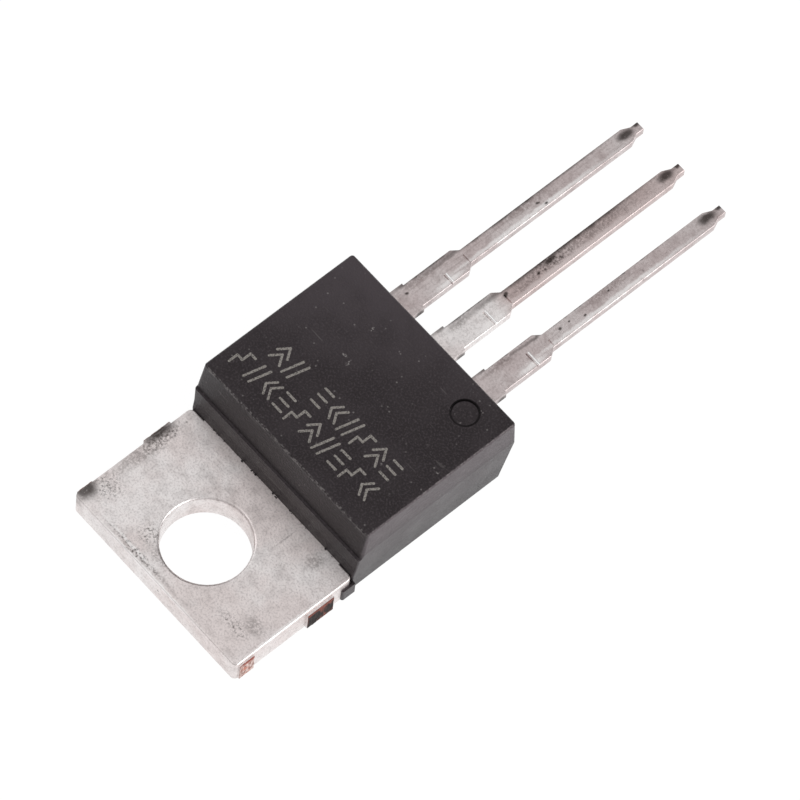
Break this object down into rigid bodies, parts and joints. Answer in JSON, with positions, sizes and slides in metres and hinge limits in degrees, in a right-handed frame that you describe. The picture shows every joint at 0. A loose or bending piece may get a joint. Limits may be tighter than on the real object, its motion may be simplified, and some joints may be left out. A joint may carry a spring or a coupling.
{
  "type": "voltage regulator",
  "caption": "Moulded power voltage regulator: black epoxy body, tinned copper mounting tab with a screw hole, and straight flat leads with trimmed tips.",
  "frame": {"origin": "axis of the mounting hole, on the back face of the tab", "axes": "+Y from the tab towards the tips of the leads, +Z out of the marked front face, +X to the right seen from the front with the leads up"},
  "size_m": [0.0102, 0.0286, 0.0044],
  "materials": {
    "epoxy_moulding": "moulded, fine matt grain",
    "tinned_copper": "matt tin plate, mottled",
    "tinned_lead": "satin tin plate, stained",
    "silicon": "polished wafer",
    "solder": "dull grey",
    "bond_wire": "bright drawn"
  },
  "bodies": {
    "root": {"moulded_body": "epoxy_moulding", "tab_with_output_lead": "tinned_copper", "adjust_lead": "tinned_lead", "input_lead": "tinned_lead", "silicon_die": "silicon", "die_solder": "solder", "adjust_bond_wire": "bond_wire", "input_bond_wire_a": "bond_wire", "input_bond_wire_b": "bond_wire", "output_bond_wire_a": "bond_wire", "output_bond_wire_b": "bond_wire"}
  },
  "joints": []
}
